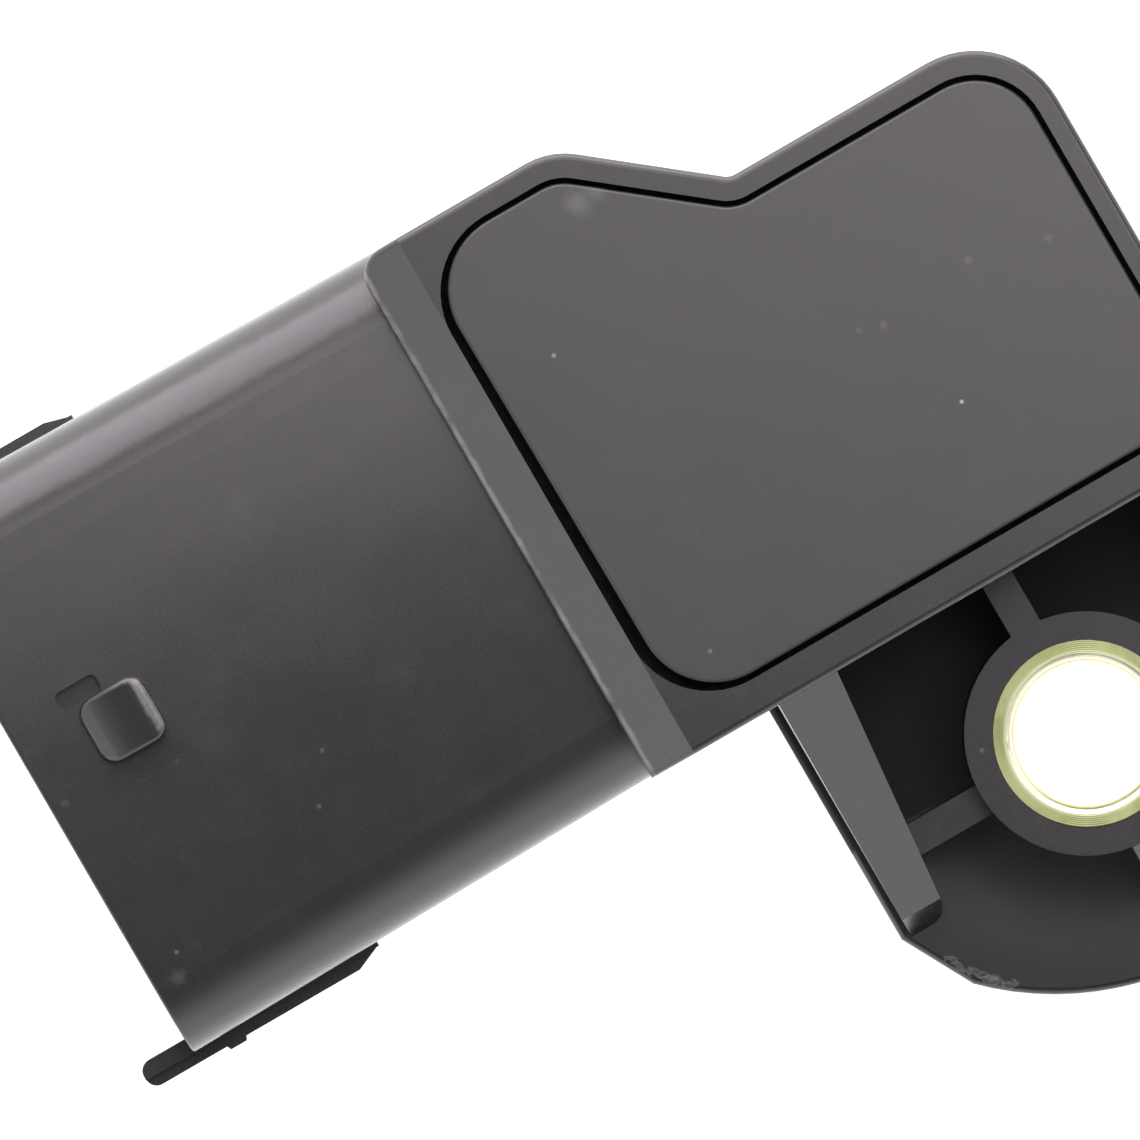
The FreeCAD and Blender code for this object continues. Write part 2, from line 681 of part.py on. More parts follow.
def add_boss(body):
    """Screw boss and the four ribs that stand round it."""
    sketch = add_sketch(body, "boss_plan", "XY_Plane")
    circle(sketch, (ZERO, ZERO), size.boss_radius)
    extrude(body, "Pad", sketch, size.boss_height)

    half_rib = size.rib_width / 2
    inside = size.boss_radius - size.cut_margin
    sketch = add_sketch(body, "body_rib", "XY_Plane")
    root = port_y - size.body_front + size.cut_margin
    outline(sketch, box_corners(-half_rib, half_rib, inside, root))
    extrude(body, "Pad", sketch, size.boss_height)

    wall_x = size.flange_half_width - size.wall_inset - size.wall_tip_width / 2
    middle = -size.side_rib_shift
    for name, low, high in (("left_rib", -wall_x, -inside), ("right_rib", inside, wall_x)):
        sketch = add_sketch(body, name, "XY_Plane")
        outline(sketch, box_corners(low, high, middle - half_rib, middle + half_rib))
        extrude(body, "Pad", sketch, size.side_rib_height)

    sketch = add_sketch(body, "end_rib", "YZ_Plane", -half_rib)
    below = size.flange_thickness - size.cut_margin
    corners = [
        (-inside, below),
        (-inside, size.end_rib_height),
        (-size.boss_radius, size.end_rib_height),
        (-size.end_rib_run, size.flange_thickness),
        (-size.end_rib_run, below),
    ]
    outline(sketch, corners)
    extrude(body, "Pad", sketch, size.rib_width)


def bushing_outside(bottom, top, grown):
    """Outside of the brass bushing from bottom to top, or of its seat when grown by the moulded gap."""
    outer = size.bushing_radius + grown
    waist = outer - size.bushing_waist
    waist_top = size.waist_start + size.waist_length
    return [
        (outer, bottom),
        (outer, size.waist_start),
        (waist, size.waist_start + size.bushing_waist),
        (waist, waist_top - size.bushing_waist),
        (outer, waist_top),
        (outer, top),
    ]


def cut_bushing_seat(body):
    sketch = add_sketch(body, "bushing_seat", "XZ_Plane")
    below = -size.cut_margin
    above = size.boss_height + size.cut_margin
    outside = bushing_outside(below, above, size.moulded_gap)
    outline(sketch, [(ZERO, below)] + outside + [(ZERO, above)])
    turn(body, "Groove", sketch)


def add_port(body):
    """Pressure port below the seat: two collars with the ring groove, and a tapered nozzle."""
    groove_end = size.seal_groove_start + size.seal_groove_width
    collar_end = groove_end + size.collar_length
    sketch = add_sketch(body, "port_profile", "XZ_Plane", -port_y)
    corners = [
        (ZERO, size.cut_margin),
        (size.port_radius, size.cut_margin),
        (size.port_radius, -size.seal_groove_start),
        (size.seal_groove_radius, -size.seal_groove_start),
        (size.seal_groove_radius, -groove_end),
        (size.port_radius, -groove_end),
        (size.port_radius, size.collar_lead - collar_end),
        (size.port_radius - size.collar_lead, -collar_end),
        (size.nozzle_root_radius, -collar_end),
        (size.nozzle_tip_radius, -size.port_length),
        (ZERO, -size.port_length),
    ]
    outline(sketch, corners)
    turn(body, "Revolution", sketch)


def cut_cavity(body):
    """Lid recess, cavity, seat of the circuit plate and pressure passage."""
    sketch = add_sketch(body, "recess", "XY_Plane", size.body_height)
    outline(sketch, *opening_outline())
    extrude(body, "Pocket", sketch, size.body_height - ledge_level)

    sketch = add_sketch(body, "cavity", "XY_Plane", size.body_height)
    outline(sketch, *cavity_outline())
    extrude(body, "Pocket", sketch, size.body_height - size.cavity_floor)

    sketch = add_sketch(body, "circuit_seat", "XY_Plane", size.cavity_floor)
    outline(sketch, substrate_corners(size.substrate_room))
    extrude(body, "Pocket", sketch, size.substrate_bond)

    sketch = add_sketch(body, "pressure_passage", "XY_Plane", size.cavity_floor)
    circle(sketch, (ZERO, port_y), size.port_bore)
    extrude(body, "Pocket", sketch, size.cavity_floor + size.port_length + size.cut_margin)


def substrate_corners(grown):
    half = size.substrate_half_width + grown
    left = -size.substrate_left - grown
    return box_corners(left, size.substrate_right + grown, port_y - half, port_y + half)


def terminal_y(place):
    """Middle of a terminal: place counts from the middle one, positive to the back."""
    return shroud_y + size.terminal_pitch * place


def cut_terminal_slot(body, name, place):
    """Slot in the wall between socket and cavity, filled by the terminal moulded into it."""
    half = size.terminal_width / 2 + size.moulded_gap
    start = -size.shroud_reach + size.socket_depth - size.cut_margin
    sketch = add_sketch(body, name + "_slot", "YZ_Plane", start)
    middle = terminal_y(place)
    top = blade_bottom + size.terminal_thickness + size.moulded_gap
    outline(sketch, box_corners(middle - half, middle + half, blade_bottom, top))
    extrude(body, "Pocket", sketch, -start - cavity_left + size.cut_margin, against=True)


TERMINALS = [("ground_terminal", -1), ("signal_terminal", 0), ("supply_terminal", 1)]


def build_housing():
    """One-piece moulding that carries every other piece."""
    body = new_body("housing")
    add_platform(body)
    add_shroud(body)
    add_rail(body, "front_rail", -1, size.rail_lip_front)
    add_rail(body, "back_rail", 1, size.rail_lip_back)
    add_rail_stop(body)
    add_latch_nose(body)
    add_flange_plate(body)
    add_flange_walls(body)
    add_boss(body)
    cut_bushing_seat(body)
    add_port(body)
    cut_cavity(body)
    for name, place in TERMINALS:
        cut_terminal_slot(body, name, place)


def build_lid():
    """Flat lid with a rounded upper edge, let into the recess."""
    body = new_body("lid")
    sketch = add_sketch(body, "lid_plan", "XY_Plane", lid_level)
    outline(sketch, *lid_outline())
    extrude(body, "Pad", sketch, size.lid_thickness)
    top = lid_level + size.lid_thickness
    round_edges(body, "lid_upper_edge", size.lid_edge_round, lambda edge: is_level_at(edge, top))


def build_lid_adhesive():
    """Bead on the ledge, squeezed up into the groove round the lid."""
    body = new_body("lid_adhesive")
    sketch = add_sketch(body, "ledge_bead", "XY_Plane", ledge_level)
    outline(sketch, *opening_outline())
    outline(sketch, *cavity_outline())
    extrude(body, "Pad", sketch, size.bead_thickness)
    sketch = add_sketch(body, "groove_bead", "XY_Plane", ledge_level)
    outline(sketch, *opening_outline())
    outline(sketch, *lid_outline())
    extrude(body, "Pad", sketch, size.bead_rise)


def build_screw_bushing():
    """Brass sleeve with a holding groove, and a bore that is rounded at the top."""
    body = new_body("screw_bushing")
    sketch = add_sketch(body, "bushing_section", "XZ_Plane")
    top = size.boss_height + size.bushing_proud
    outside = bushing_outside(ZERO, top, ZERO)
    corners = [(size.bushing_bore, ZERO)] + outside + [(size.bushing_bore, top)]
    outline(sketch, corners, [None] + [None] * len(outside) + [size.bushing_flare])
    turn(body, "Revolution", sketch)


def build_port_seal_ring():
    """Rubber ring in the groove of the pressure port."""
    ring = document.addObject("Part::Torus", "port_seal_ring")
    ring.Label = "port_seal_ring"
    middle = size.seal_groove_radius + size.seal_clearance + size.seal_section
    level = -size.seal_groove_start - size.seal_groove_width / 2
    ring.setExpression("Radius1", middle.text)
    ring.setExpression("Radius2", size.seal_section.text)
    ring.setExpression("Placement.Base.y", port_y.text)
    ring.setExpression("Placement.Base.z", level.text)


def build_terminal(label, place):
    """Flat blade from the socket through the wall to its pad in the cavity."""
    body = new_body(label)
    sketch = add_sketch(body, label + "_plan", "XY_Plane", blade_bottom)
    middle = terminal_y(place)
    half = size.terminal_width / 2
    tip = -size.shroud_reach + size.blade_setback
    shoulder = tip + size.blade_taper * 2
    end = -cavity_left + size.pad_length
    corners = [
        (tip, middle - half + size.blade_taper),
        (shoulder, middle - half),
        (end, middle - half),
        (end, middle + half),
        (shoulder, middle + half),
        (tip, middle + half - size.blade_taper),
    ]
    outline(sketch, corners)
    extrude(body, "Pad", sketch, size.terminal_thickness)


def build_circuit_plate():
    """Ceramic plate over the pressure passage, and the adhesive that seals it."""
    plate = new_body("circuit_substrate")
    sketch = add_sketch(plate, "substrate_plan", "XY_Plane", circuit_bottom)
    outline(sketch, substrate_corners(ZERO))
    circle(sketch, (ZERO, port_y), size.pressure_hole)
    extrude(plate, "Pad", sketch, size.substrate_thickness)

    bond = new_body("substrate_adhesive")
    sketch = add_sketch(bond, "bond_plan", "XY_Plane", circuit_bottom - size.substrate_bond)
    outline(sketch, substrate_corners(ZERO))
    circle(sketch, (ZERO, port_y), size.port_bore)
    extrude(bond, "Pad", sketch, size.substrate_bond)


def square_about_port(side):
    return box_corners(-side / 2, side / 2, port_y - side / 2, port_y + side / 2)


def build_pressure_cell():
    """Glass pedestal, pressure chip with its thin diaphragm, and the cap over the vacuum."""
    chip_bottom = circuit_top + size.pedestal_height
    cap_bottom = chip_bottom + size.chip_height

    pedestal = new_body("glass_pedestal")
    sketch = add_sketch(pedestal, "pedestal_plan", "XY_Plane", circuit_top)
    outline(sketch, square_about_port(size.pedestal_side))
    circle(sketch, (ZERO, port_y), size.pressure_hole)
    extrude(pedestal, "Pad", sketch, size.pedestal_height)

    chip = new_body("pressure_chip")
    sketch = add_sketch(chip, "chip_plan", "XY_Plane", chip_bottom)
    outline(sketch, square_about_port(size.pedestal_side))
    extrude(chip, "Pad", sketch, size.chip_height)
    sketch = add_sketch(chip, "diaphragm_hollow", "XY_Plane", chip_bottom)
    outline(sketch, square_about_port(size.diaphragm_side))
    extrude(chip, "Pocket", sketch, size.chip_height - size.diaphragm_thickness, against=True)

    cap = new_body("reference_cap")
    sketch = add_sketch(cap, "cap_plan", "XY_Plane", cap_bottom)
    outline(sketch, square_about_port(size.cap_side))
    extrude(cap, "Pad", sketch, size.cap_height)
    sketch = add_sketch(cap, "vacuum_space", "XY_Plane", cap_bottom)
    outline(sketch, square_about_port(size.cap_side - size.cap_wall * 2))
    extrude(cap, "Pocket", sketch, size.cap_hollow, against=True)


def build_block(label, length, width, height, middle_x, middle_y):
    """Rectangular component that stands on the circuit plate."""
    block = document.addObject("Part::Box", label)
    block.Label = label
    block.setExpression("Length", length.text)
    block.setExpression("Width", width.text)
    block.setExpression("Height", height.text)
    block.setExpression("Placement.Base.x", (middle_x - length / 2).text)
    block.setExpression("Placement.Base.y", (middle_y - width / 2).text)
    block.setExpression("Placement.Base.z", circuit_top.text)


def build_components():
    """Signal chip, capacitors and load resistor."""
    build_block(
        "signal_chip",
        size.signal_chip_length,
        size.signal_chip_width,
        size.signal_chip_height,
        size.signal_chip_place,
        port_y,
    )
    row = port_y - size.capacitor_place
    for label, place in (("supply_capacitor", -1), ("signal_capacitor", 0), ("input_capacitor", 1)):
        build_block(
            label,
            size.capacitor_length,
            size.capacitor_width,
            size.capacitor_height,
            size.capacitor_spacing * place,
            row,
        )
    build_block(
        "load_resistor",
        size.resistor_length,
        size.resistor_width,
        size.resistor_height,
        size.signal_chip_place,
        port_y + size.capacitor_place,
    )


def wire_loop(name, radius, section, middle_x, middle_y, level):
    """Half ring of wire that stands on the level of its two bonds."""
    loop = document.addObject("Part::Torus", name)
    loop.Angle3 = 180
    loop.Placement.Rotation = FreeCAD.Rotation(FreeCAD.Vector(1, 0, 0), 90)
    loop.setExpression("Radius1", radius.text)
    loop.setExpression("Radius2", section.text)
    loop.setExpression("Placement.Base.x", middle_x.text)
    loop.setExpression("Placement.Base.y", middle_y.text)
    loop.setExpression("Placement.Base.z", level.text)
    return loop


def build_terminal_wires():
    """Aluminium loops from the terminal pads to the circuit plate."""
    pad_end = cavity_left - size.pad_length
    middle = (pad_end + size.substrate_left) / -2
    level = blade_bottom + size.terminal_thickness
    for terminal, place in TERMINALS:
        label = terminal.replace("terminal", "bond_wire")
        loop = wire_loop(label, size.loop_radius, size.loop_section, middle, terminal_y(place), level)
        loop.Label = label


def build_chip_wires():
    """Fine loops from the pressure chip down to the circuit plate, each with a straight leg."""
    bond_x = size.pedestal_side / 2 - (size.pedestal_side - size.cap_side) / 4
    chip_top = circuit_top + size.pedestal_height + size.chip_height
    wires = []
    for number, place in enumerate((-1.5, -0.5, 0.5, 1.5), start=1):
        across = port_y + size.chip_loop_pitch * place
        middle = bond_x + size.chip_loop_radius
        loop = wire_loop(
            "chip_loop_%d" % number, size.chip_loop_radius, size.chip_loop_section, middle, across, chip_top
        )
        leg = document.addObject("Part::Cylinder", "chip_leg_%d" % number)
        leg.setExpression("Radius", size.chip_loop_section.text)
        leg.setExpression("Height", (chip_top - circuit_top).text)
        leg.setExpression("Placement.Base.x", (middle + size.chip_loop_radius).text)
        leg.setExpression("Placement.Base.y", across.text)
        leg.setExpression("Placement.Base.z", circuit_top.text)
        wire = document.addObject("Part::Fuse", "chip_wire_%d" % number)
        wire.Base = loop
        wire.Tool = leg
        wires.append(wire)
    group = document.addObject("Part::Compound", "chip_bond_wires")
    group.Label = "chip_bond_wires"
    group.Links = wires


def build_gel():
    """Soft filling over the circuit: the bottom of the cavity less all that stands in it."""
    pool = new_body("gel_pool")
    sketch = add_sketch(pool, "gel_plan", "XY_Plane", size.cavity_floor)
    outline(sketch, *cavity_outline())
    extrude(pool, "Pad", sketch, size.gel_level - size.cavity_floor)

    passage = document.addObject("Part::Box", "pressure_space")
    passage.setExpression("Length", size.diaphragm_side.text)
    passage.setExpression("Width", size.diaphragm_side.text)
    vacuum_top = circuit_top + size.pedestal_height + size.chip_height + size.cap_hollow
    passage.setExpression("Height", (vacuum_top - size.cavity_floor).text)
    passage.setExpression("Placement.Base.x", (-size.diaphragm_side / 2).text)
    passage.setExpression("Placement.Base.y", (port_y - size.diaphragm_side / 2).text)
    passage.setExpression("Placement.Base.z", size.cavity_floor.text)

    embedded = document.addObject("Part::Compound", "embedded_pieces")
    names = [
        "ground_terminal",
        "signal_terminal",
        "supply_terminal",
        "circuit_substrate",
        "glass_pedestal",
        "pressure_chip",
        "reference_cap",
        "signal_chip",
        "supply_capacitor",
        "signal_capacitor",
        "input_capacitor",
        "load_resistor",
        "ground_bond_wire",
        "signal_bond_wire",
        "supply_bond_wire",
        "chip_bond_wires",
        "pressure_space",
    ]
    embedded.Links = [document.getObject(name) for name in names]
    gel = document.addObject("Part::Cut", "protective_gel")
    gel.Label = "protective_gel"
    gel.Base = pool
    gel.Tool = embedded


PIECES = [
    "housing",
    "lid",
    "lid_adhesive",
    "screw_bushing",
    "port_seal_ring",
    "ground_terminal",
    "signal_terminal",
    "supply_terminal",
    "circuit_substrate",
    "substrate_adhesive",
    "glass_pedestal",
    "pressure_chip",
    "reference_cap",
    "signal_chip",
    "supply_capacitor",
    "signal_capacitor",
    "input_capacitor",
    "load_resistor",
    "ground_bond_wire",
    "signal_bond_wire",
    "supply_bond_wire",
    "chip_bond_wires",
    "protective_gel",
]

build_housing()
build_lid()
build_lid_adhesive()
build_screw_bushing()
build_port_seal_ring()
for terminal, place in TERMINALS:
    build_terminal(terminal, place)
build_circuit_plate()
build_pressure_cell()
build_components()
build_terminal_wires()
build_chip_wires()
build_gel()
document.recompute()

for item in document.Objects:
    if "Invalid" in item.State or "Error" in item.State:
        raise RuntimeError("%s failed to build: %s" % (item.Label, item.State))

os.makedirs("parts", exist_ok=True)
for name in PIECES:
    piece = document.getObjectsByLabel(name)[0]
    shape = piece.Shape
    if shape.isNull() or not shape.isValid():
        raise RuntimeError(name + " has no valid shape")
    shape.exportStep(os.path.join("parts", name + ".step"))
    print("%-20s solids %d volume %.2f" % (name, len(shape.Solids), shape.Volume))
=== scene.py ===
import math

import bpy
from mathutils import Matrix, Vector


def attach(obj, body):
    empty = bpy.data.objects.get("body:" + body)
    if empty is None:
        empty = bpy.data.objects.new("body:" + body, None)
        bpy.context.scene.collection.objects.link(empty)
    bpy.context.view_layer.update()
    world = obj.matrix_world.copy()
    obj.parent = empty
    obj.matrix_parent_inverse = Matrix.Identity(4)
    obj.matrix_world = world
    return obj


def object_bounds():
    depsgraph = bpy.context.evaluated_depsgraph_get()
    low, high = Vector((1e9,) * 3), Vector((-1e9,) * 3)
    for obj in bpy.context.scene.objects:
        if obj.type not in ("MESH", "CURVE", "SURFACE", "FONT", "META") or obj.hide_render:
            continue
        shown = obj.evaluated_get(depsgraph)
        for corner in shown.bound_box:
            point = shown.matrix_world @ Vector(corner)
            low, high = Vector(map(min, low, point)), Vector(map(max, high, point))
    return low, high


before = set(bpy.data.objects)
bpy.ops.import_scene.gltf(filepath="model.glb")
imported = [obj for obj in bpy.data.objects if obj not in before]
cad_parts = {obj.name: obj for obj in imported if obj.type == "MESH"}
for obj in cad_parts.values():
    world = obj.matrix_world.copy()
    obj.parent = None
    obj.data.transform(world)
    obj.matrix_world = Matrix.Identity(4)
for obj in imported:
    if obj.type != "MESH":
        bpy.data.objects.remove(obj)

cad_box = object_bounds()


# Housing
# One black glass-filled moulding: lid platform, plug shroud, screw flange and pressure port.
# Its skin is a fine satin grain with faint flow streaks, small scuffs and a few specks of dust.
# Pale lines painted along the band's foot and the latch nose are painted highlights. The flange plate's floor
# carries painted shade, near black, and is made rougher.

def new_group(name, inputs, outputs):
    """Empty shader node group with named sockets, and its own input and output nodes."""
    group = bpy.data.node_groups.new(name, "ShaderNodeTree")
    for label, kind, default in inputs:
        socket = group.interface.new_socket(label, in_out="INPUT", socket_type=kind)
        if default is not None:
            socket.default_value = default
    for label, kind in outputs:
        group.interface.new_socket(label, in_out="OUTPUT", socket_type=kind)
    entry = group.nodes.new("NodeGroupInput")
    leave = group.nodes.new("NodeGroupOutput")
    return group, entry, leave


def add_node(tree, kind, settings=None, **inputs):
    """Node with its settings, and its inputs set to values or linked to sockets."""
    node = tree.nodes.new(kind)
    for name, value in (settings or {}).items():
        setattr(node, name, value)
    for name, value in inputs.items():
        key = int(name[1:]) if name[1:].isdigit() else name.replace("_", " ")
        socket = node.inputs[key]
        if isinstance(value, bpy.types.NodeSocket):
            tree.links.new(value, socket)
        else:
            socket.default_value = value
    return node


def math_node(tree, operation, first, second=0.0, clamp=False):
    node = add_node(tree, "ShaderNodeMath", {"operation": operation, "use_clamp": clamp}, i0=first, i1=second)
    return node.outputs[0]


def vector_node(tree, operation, first, second):
    return add_node(tree, "ShaderNodeVectorMath", {"operation": operation}, i0=first, i1=second)


def weighted_sum(tree, first, first_share, second, second_share):
    first = math_node(tree, "MULTIPLY", first, first_share)
    return math_node(tree, "ADD", first, math_node(tree, "MULTIPLY", second, second_share))


def distance_from(tree, value, middle):
    """How far a value is from a middle, either way."""
    return math_node(tree, "ABSOLUTE", math_node(tree, "SUBTRACT", value, middle))


def blend_colors(tree, share, first, second):
    node = add_node(tree, "ShaderNodeMix", {"data_type": "RGBA"}, i0=share, i6=first, i7=second)
    return node.outputs[2]


def remap(tree, value, low, high, to_low=0.0, to_high=1.0):
    node = add_node(
        tree, "ShaderNodeMapRange", {"interpolation_type": "SMOOTHSTEP"},
        i0=value, i1=low, i2=high, i3=to_low, i4=to_high,
    )
    return node.outputs[0]


def noise(tree, place, scale, detail=3.0, roughness=0.55, distortion=0.0):
    node = add_node(
        tree, "ShaderNodeTexNoise", None,
        Vector=place, Scale=scale, Detail=detail, Roughness=roughness, Distortion=distortion,
    )
    return node.outputs["Fac"]


def new_material(name):
    """Material with an empty tree but for its shader and output."""
    material = bpy.data.materials.new(name)
    material.use_nodes = True
    tree = material.node_tree
    tree.nodes.clear()
    shader = tree.nodes.new("ShaderNodeBsdfPrincipled")
    output = tree.nodes.new("ShaderNodeOutputMaterial")
    tree.links.new(shader.outputs["BSDF"], output.inputs["Surface"])
    return material, tree, shader


def object_place(tree):
    return tree.nodes.new("ShaderNodeTexCoord").outputs["Object"]


def moulded_skin_group():
    """Fine satin grain of moulded plastic: mottle, roughness and height from a place."""
    group, entry, leave = new_group(
        "moulded_skin",
        [("Place", "NodeSocketVector", None), ("Streaks", "NodeSocketFloat", 0.5)],
        [("Mottle", "NodeSocketFloat"), ("Roughness", "NodeSocketFloat"), ("Height", "NodeSocketFloat")],
    )
    place = entry.outputs["Place"]
    cloud = noise(group, place, 70.0, 4.0, 0.6)
    patches = noise(group, place, 260.0, 3.0, 0.6, 0.4)
    grain = noise(group, place, 5200.0, 2.0, 0.7)
    pits = add_node(group, "ShaderNodeTexVoronoi", None, Vector=place, Scale=2600.0).outputs["Distance"]
    along_flow = (0.35, 2.2, 1.0)
    stretched = add_node(group, "ShaderNodeMapping", None, Vector=place, Scale=along_flow).outputs[0]
    flow = noise(group, stretched, 240.0, 4.0, 0.6, 0.8)
    flow = math_node(group, "MULTIPLY", math_node(group, "SUBTRACT", flow, 0.5), entry.outputs["Streaks"])
    mottle = weighted_sum(group, cloud, 0.6, patches, 0.4)
    mottle = math_node(group, "ADD", mottle, flow, True)
    rough = weighted_sum(group, patches, 0.5, grain, 0.5)
    height = math_node(group, "ADD", grain, math_node(group, "MULTIPLY", pits, 0.2))
    group.links.new(mottle, leave.inputs["Mottle"])
    group.links.new(rough, leave.inputs["Roughness"])
    group.links.new(height, leave.inputs["Height"])
    return group


def spot_group():
    """Mask of one soft-edged spot about a point, wavering in outline and deep enough for any slope."""
    group, entry, leave = new_group(
        "spot",
        [
            ("Place", "NodeSocketVector", None),
            ("Middle", "NodeSocketVector", (0.0, 0.0, 0.0)),
            ("Radius", "NodeSocketFloat", 0.0002),
            ("Softness", "NodeSocketFloat", 0.5),
        ],
        [("Mask", "NodeSocketFloat")],
    )
    place = entry.outputs["Place"]
    offset = vector_node(group, "SUBTRACT", place, entry.outputs["Middle"]).outputs[0]
    shallow = (1.0, 1.0, 0.1)
    flat = vector_node(group, "MULTIPLY", offset, shallow).outputs[0]
    away = add_node(group, "ShaderNodeVectorMath", {"operation": "LENGTH"}, i0=flat).outputs["Value"]
    waver = noise(group, place, 3000.0, 2.0)
    radius = math_node(group, "MULTIPLY", entry.outputs["Radius"], math_node(group, "ADD", waver, 0.5))
    share = math_node(group, "DIVIDE", away, radius)
    inner = math_node(group, "SUBTRACT", 1.0, entry.outputs["Softness"])
    mask = add_node(
        group, "ShaderNodeMapRange", {"interpolation_type": "SMOOTHSTEP"},
        i0=share, i1=inner, i2=1.0, i3=1.0, i4=0.0,
    ).outputs[0]
    group.links.new(mask, leave.inputs["Mask"])
    return group


moulded_skin = moulded_skin_group()
spot = spot_group()


def add_spots(tree, place, spots):
    """Mask of spots, each (x, y, z, radius, softness, strength), its place and radius in millimetres."""
    total = None
    for x, y, z, radius, softness, strength in spots:
        node = tree.nodes.new("ShaderNodeGroup")
        node.node_tree = spot
        tree.links.new(place, node.inputs["Place"])
        node.inputs["Middle"].default_value = (x / 1000, y / 1000, z / 1000)
        node.inputs["Radius"].default_value = radius / 1000
        node.inputs["Softness"].default_value = softness
        mask = math_node(tree, "MULTIPLY", node.outputs["Mask"], strength)
        total = mask if total is None else math_node(tree, "MAXIMUM", total, mask)
    return total


def radius_about_screw(tree, x, y):
    """Distance from the screw's axis, which is the vertical through the origin."""
    flat = add_node(tree, "ShaderNodeCombineXYZ", None, i0=x, i1=y).outputs[0]
    return add_node(tree, "ShaderNodeVectorMath", {"operation": "LENGTH"}, i0=flat).outputs["Value"]


def painted_shade_mask(tree, place):
    """Mask of painted shade on the flange plate's floor: full by the body and round the boss, weaker to the
    rim.
    """
    floor_level = 0.003
    by_body_middle = 0.0045
    x, y, z = add_node(tree, "ShaderNodeSeparateXYZ", None, i0=place).outputs
    radius = radius_about_screw(tree, x, y)
    wavy = math_node(tree, "ADD", radius, math_node(tree, "MULTIPLY", noise(tree, place, 300.0), 0.001))
    round_boss = remap(tree, wavy, 0.0125, 0.0072, 0.45, 1.0)
    by_body = remap(tree, distance_from(tree, y, by_body_middle), 0.0045, 0.0038)
    level = remap(tree, distance_from(tree, z, floor_level), 0.0008, 0.0003)
    return math_node(tree, "MULTIPLY", math_node(tree, "MAXIMUM", round_boss, by_body), level)


def painted_highlight_lines_mask(tree, place, lines):
    """Mask of painted highlight lines along the edges, each (x, low y, high y, half width, lowest z) in
    millimetres.
    """
    x, y, z = add_node(tree, "ShaderNodeSeparateXYZ", None, i0=place).outputs
    wander = math_node(tree, "SUBTRACT", noise(tree, place, 900.0, 3.0), 0.5)
    across = math_node(tree, "ADD", x, math_node(tree, "MULTIPLY", wander, 0.0003))
    total = 0.0
    for line_x, low_y, high_y, half_width, lowest_z in lines:
        reach = (high_y - low_y) / 2000
        away = distance_from(tree, across, line_x / 1000)
        along = distance_from(tree, y, (low_y + high_y) / 2000)
        sides = remap(tree, away, half_width / 1000, half_width / 3000)
        ends = remap(tree, along, reach, reach - 0.0004)
        above = remap(tree, z, lowest_z / 1000, lowest_z / 1000 + 0.0002)
        mask = math_node(tree, "MULTIPLY", math_node(tree, "MULTIPLY", sides, ends), above)
        total = math_node(tree, "MAXIMUM", total, mask)
    patchy = remap(tree, noise(tree, place, 380.0, 4.0, 0.7), 0.3, 0.6)
    return math_node(tree, "MULTIPLY", total, patchy)


def moulded_plastic(name, dark, light, roughness, streaks, dust, highlight_lines=None):
    """Black moulded plastic with its grain, mottle and dust, and the housing's painted edge highlights and
    painted shade on the flange plate.
    """
    scuffed = (0.09, 0.084, 0.09, 1)
    painted_highlight_colour = (0.34, 0.325, 0.34, 1)
    painted_shade_black = (0.006, 0.0055, 0.006, 1)
    dusty = (0.62, 0.6, 0.58, 1)
    material, tree, shader = new_material(name)
    place = object_place(tree)
    skin = tree.nodes.new("ShaderNodeGroup")
    skin.node_tree = moulded_skin
    tree.links.new(place, skin.inputs["Place"])
    skin.inputs["Streaks"].default_value = streaks
    low_rough, high_rough = roughness
    rough = remap(tree, skin.outputs["Roughness"], 0.3, 0.7, low_rough, high_rough)

    colour = blend_colors(tree, skin.outputs["Mottle"], (*dark, 1), (*light, 1))
    scuffs = remap(tree, noise(tree, place, 420.0, 4.0, 0.65, 0.5), 0.56, 0.8)
    colour = blend_colors(tree, math_node(tree, "MULTIPLY", scuffs, 0.2), colour, scuffed)
    if highlight_lines:
        # Painted highlights: pale lines along the band's foot and the nose's edge, where the rounded edges
        # catch the light.
        edge_highlight_paint = painted_highlight_lines_mask(tree, place, highlight_lines)
        colour = blend_colors(tree, math_node(tree, "MULTIPLY", edge_highlight_paint, 0.65), colour, painted_highlight_colour)
        # Painted shade: the flange plate's floor is darkened towards black near the body and round the boss,
        # and made rougher.
        painted_shade = painted_shade_mask(tree, place)
        colour = blend_colors(tree, math_node(tree, "MULTIPLY", painted_shade, 2.0, True), colour, painted_shade_black)
        dull = math_node(tree, "MULTIPLY", math_node(tree, "POWER", painted_shade, 3.0), 0.45)
        rough = math_node(tree, "ADD", rough, dull, True)
    specks = add_spots(tree, place, dust)
    colour = blend_colors(tree, specks, colour, dusty)
    rough = math_node(tree, "ADD", rough, math_node(tree, "MULTIPLY", specks, 0.4), True)

    relief = skin.outputs["Height"]
    bump = add_node(tree, "ShaderNodeBump", None, Strength=0.12, Distance=0.00001, Height=relief)
    tree.links.new(colour, shader.inputs["Base Color"])
    tree.links.new(rough, shader.inputs["Roughness"])
    tree.links.new(bump.outputs[0], shader.inputs["Normal"])
    shader.inputs["IOR"].default_value = 1.6
    shader.inputs["Specular Tint"].default_value = (1.0, 0.94, 1.0, 1)
    return material


def dress(node, material):
    """Give a CAD node its material."""
    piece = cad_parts[node]
    for place in piece.material_slots:
        place.material = material


